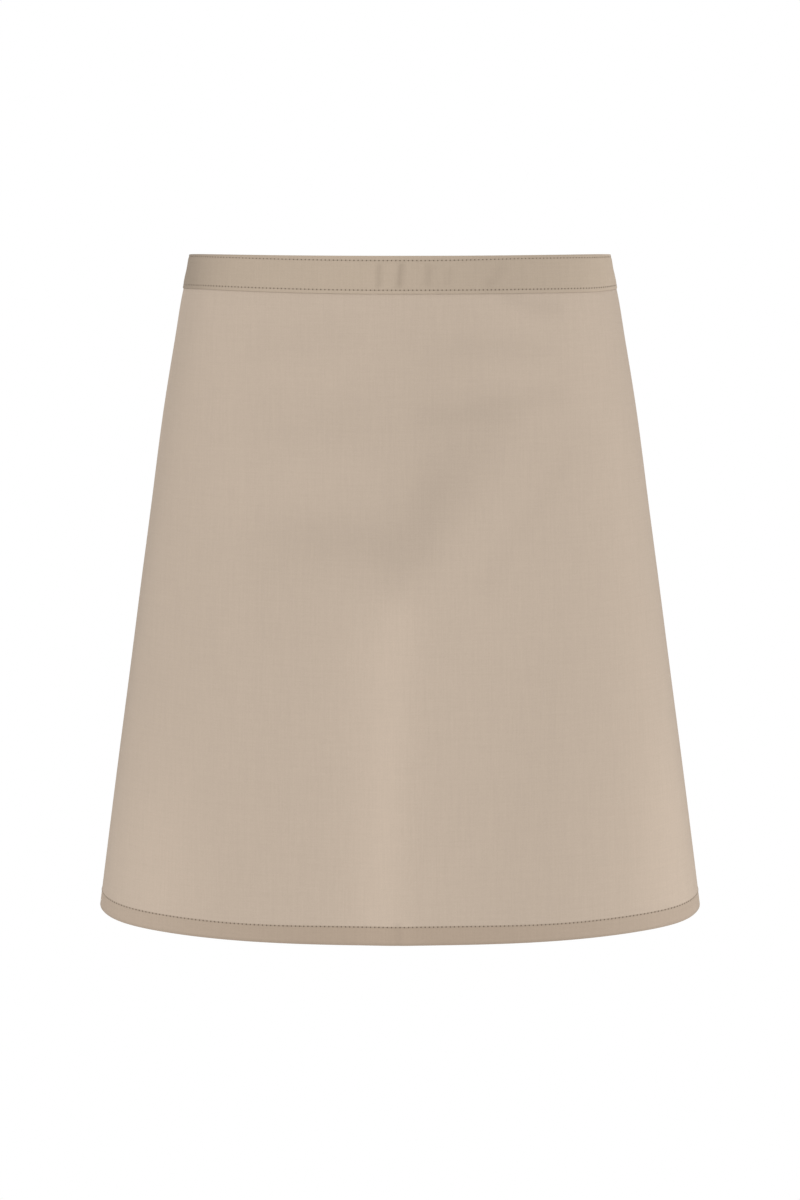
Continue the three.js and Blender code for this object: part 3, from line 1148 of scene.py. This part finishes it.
def makeTies():
    # each piece of tape with its length and its stitches
    pieces = {}
    ends = tie["rowEnds"]
    for name, side in sides.items():
        start = halfCloth - tie["insert"]
        end = halfRound(knotDown) - knotReach + tie["overlap"]
        stops = np.linspace(start, end, tie["tapeRows"])
        piece, rows = makeTape(f"tieTape_{name}", f"tie_{name}", stops, tieSurface(side),
                               halfCloth + tie["rowFromBand"], end - tie["rowToKnot"])
        pieces[f"tie_{name}"] = (piece, end - start, rows)

        middle, across = loopMiddle(side)
        loop, length = ribbonSurface(
            middle, across, lambda share: tie["loopReach"] * (1 - np.cos(2 * math.pi * share)) / 2
        )
        stops = np.linspace(0, length, tie["loopRows"])
        piece, rows = makeTape(f"bowLoop_{name}", f"bow_loop_{name}", stops, loop, ends, length - ends)
        pieces[f"bow_loop_{name}"] = (piece, length, rows)

        middle, across = endMiddle(side)
        hang, length = ribbonSurface(middle, across, lambda share: tie["endLength"] * share)
        hang = hemmed(hang, length)
        stops = np.concatenate([
            np.linspace(0, length - tie["endHem"], tie["endRows"]),
            np.linspace(length - tie["endHemWhole"], length, tie["endHemRows"]),
        ])
        piece, rows = makeTape(f"tieEnd_{name}", f"tie_end_{name}", stops, hang, ends, length - tie["endHem"])
        rows += crossStitches(f"tieEnd_{name}", hang, length)
        pieces[f"tie_end_{name}"] = (piece, length, rows)
    return pieces


knot = {
    "across": 10.9,
    "out": 7.3,
    "tall": 10.6,
    "size": 0.95,
    "square": 2.7,            # 2 would be round
    "endRound": 4.5,
    "endPower": 0.4,
    "endShare": 0.02,
    "lean": 0.12,
    "ripple": 0.05,
    "fade": 0.6,
    "mapAlong": 16,
    "mapAround": 10,
    "segments": 72,
    "rings": 80,
}

# the knot's folds: place across, depth, spread
knotFolds = ((-0.4, 0.12, 0.11), (0.03, 0.15, 0.1), (0.45, 0.11, 0.11))
knotCloth = clothMaterial("knotCloth", cloth["band"])


def knotForm(x, turn):
    # share of the full radius: a barrel with folds that lean a little and fade towards its top and bottom
    barrel = (1 - min(abs(x), 1) ** knot["endRound"]) ** knot["endPower"]
    lean = x + knot["lean"] * math.sin(turn) + knot["ripple"] * math.sin(3 * turn)
    groove = sum(
        depth * math.exp(-(((lean - place) / spread) ** 2)) for place, depth, spread in knotFolds
    )
    power = knot["square"]
    square = (abs(math.cos(turn)) ** power + abs(math.sin(turn)) ** power) ** (-1 / power)
    radius = barrel - groove * (1 - knot["fade"] * math.sin(turn) ** 4) + knot["endShare"]
    return radius * square * knot["size"]


def faceRank(face):
    return sum(corner.index**2 for corner in face.verts)


def makeKnot():
    # a soft lump with a few folds that run over it from top to bottom
    bm = bmesh.new()
    bmesh.ops.create_uvsphere(bm, u_segments=knot["segments"], v_segments=knot["rings"], radius=1)
    bm.verts.index_update()
    bm.faces.sort(key=faceRank)  # a sphere lists its faces in a new order each time
    bmesh.ops.rotate(bm, verts=bm.verts, matrix=Matrix.Rotation(math.pi / 2, 3, "Y"))
    middle = knotPlace + outLine * (tie["knotDepth"] / 2 - tie["knotInset"])
    layer = bm.loops.layers.uv.new("clothMap")
    for face in bm.faces:
        for corner in face.loops:
            spot = corner.vert.co
            around = math.atan2(spot.y, spot.z)
            corner[layer].uv = (spot.x * knot["mapAlong"] * mm, around * knot["mapAround"] * mm)
    for vert in bm.verts:
        x, y, z = vert.co
        turn = math.atan2(z, y)
        radius = knotForm(x, turn)
        vert.co = Vector((
            middle[0] + knot["across"] * x,
            middle[1] + knot["out"] * radius * math.cos(turn),
            middle[2] + knot["tall"] * radius * math.sin(turn),
        )) * mm
    bmesh.ops.recalc_face_normals(bm, faces=bm.faces)
    mesh = bpy.data.meshes.new("bowKnot")
    bm.to_mesh(mesh)
    bm.free()
    return finish(smoothPiece("bowKnot", mesh), knotCloth, "tie_cloth", "bow_knot")


print("ties and bow")
tiePieces = makeTies()
knotPiece = makeKnot()


rowEdge = halfCloth - 5  # the long rows of stitches end a little before the side edges


def bandEndSurface(height, along, out):
    return bandSurface(along, height, out)


def makeBandStitches():
    rows = []
    for label, face in faces.items():
        level = face * (band["inner"] + band["wall"] - band["threadSink"])
        for place, row in zip(("top", "low"), bandRows):
            name = f"bandStitches_{place}_{label}"
            rows.append(stitchRow(name, bandSurface, -rowEdge, rowEdge, row, level, "band_cloth"))
        for name, side in sides.items():
            name = f"bandEnd_{name}_{label}"
            rows.append(stitchRow(name, bandEndSurface, *bandRows, side * bandEndRow, level, "band_cloth"))
    return rows


def makeHemStitches():
    rows = []
    hemRow = panelLook["hemRow"]
    top, bottom = hem["sideStitchTop"], hemRow - 1
    for label, level in (("front", panel["wall"] / 2), ("back", hem["far"])):
        name = f"hemStitches_{label}"
        rows.append(stitchRow(name, hemSurface, -rowEdge, rowEdge, hemRow, level, "hem_cloth"))
        for name, side in sides.items():
            name = f"sideStitches_{name}_{label}"
            row = side * panelLook["sideRow"]
            rows.append(stitchRow(name, clothPoint, top, bottom, row, level, "hem_cloth"))
    return rows


print("stitches")
bandStitches = makeBandStitches()
hemStitches = makeHemStitches()


def flatSize(width, length):
    # the size that a sheet was cut to, in metres
    return round(width * mm, 4), round(length * mm, 4)


# how each kind of tape is held, and what it rests on
tapeHolds = {
    "tie": ("stretched", bandPiece),
    "bow_loop": ("folded", knotPiece),
    "tie_end": ("hung", knotPiece),
}


def declareCloth():
    width = form["clothWidth"]
    size = flatSize(width, form["clothLength"] - panel["top"])
    size = flatSize(width, 2 * form["bandHeight"])
    bottomPiece, *sidePieces = hemPieces
    size = flatSize(width, hem["bottomWidth"])
    size = flatSize(hem["sideWidth"], hem["sideLength"])
    for piece in sidePieces:
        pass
    for node, (piece, length, rows) in tiePieces.items():
        held, rest = tapeHolds[node.rsplit("_", 1)[0]]
        size = flatSize(tie["width"], length)


print("flat sizes")
declareCloth()


def makeFloor():
    bm = bmesh.new()
    radius = studio["floorRadius"] * mm
    bmesh.ops.create_circle(bm, cap_ends=True, segments=studio["floorSides"], radius=radius)
    bmesh.ops.translate(bm, verts=bm.verts, vec=(0, 0, studio["floorLevel"] * mm))
    mesh = bpy.data.meshes.new("floor")
    bm.to_mesh(mesh)
    bm.free()
    look = {"Base Color": studio["floorTone"], "Roughness": studio["floorRoughness"]}
    mesh.materials.append(Nodes("paleFloor").surfaced(look))
    linked("floor", mesh)


print("floor")
makeFloor()
